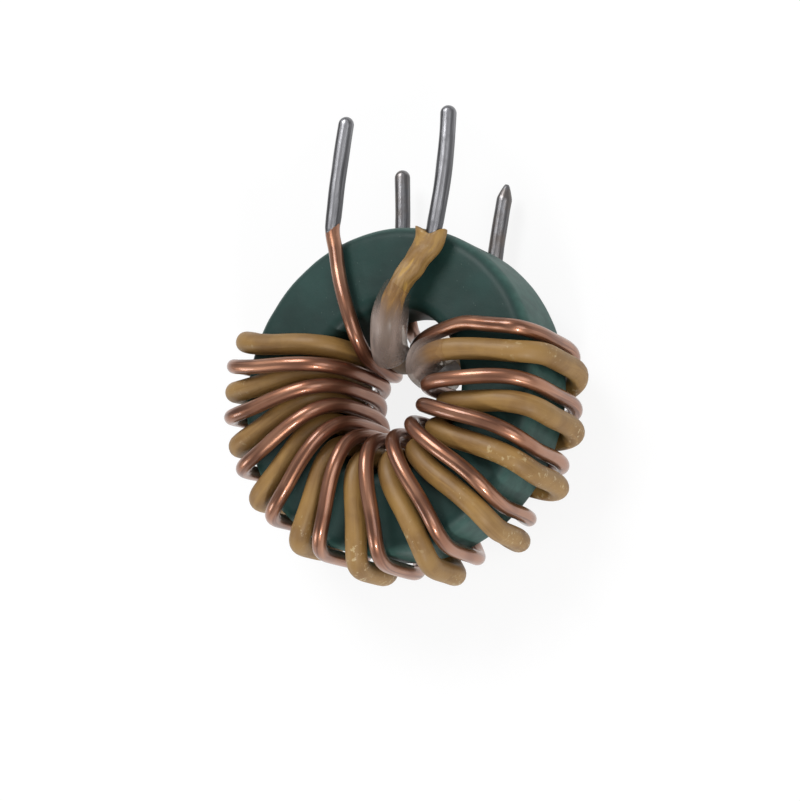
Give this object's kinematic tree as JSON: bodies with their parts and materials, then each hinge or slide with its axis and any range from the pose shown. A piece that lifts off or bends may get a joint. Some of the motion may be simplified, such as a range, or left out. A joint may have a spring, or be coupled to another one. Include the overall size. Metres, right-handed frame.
{
  "type": "toroidal inductor",
  "caption": "Coated ring core wound with a bare enamelled wire and an insulated wire side by side, with four tinned leads along one side.",
  "frame": {"origin": "bottom centre of the outline, on the surface that the rear side of the winding rests on", "axes": "+Z along the axis of the ring towards its front face, +Y along the leads towards their tips, +X to the right with the leads pointing up"},
  "size_m": [0.0228, 0.0284, 0.0099],
  "materials": {
    "core_coating": "glossy epoxy coating, dark green",
    "enamelled_copper": "glossy enamel over copper",
    "bare_copper": "plain copper",
    "insulation": "satin, amber, slightly clear",
    "sleeve": "milky clear tubing",
    "tin": "solder, smooth with drawn streaks"
  },
  "bodies": {
    "root": {"core": "core_coating", "copper_winding": "enamelled_copper", "inner_conductor": "bare_copper", "insulation": "insulation", "lead_sleeve": "sleeve", "turn_sleeve": "sleeve", "left_front_tinned_end": "tin", "right_front_tinned_end": "tin", "left_rear_tinned_end": "tin", "right_rear_tinned_end": "tin"}
  },
  "joints": []
}
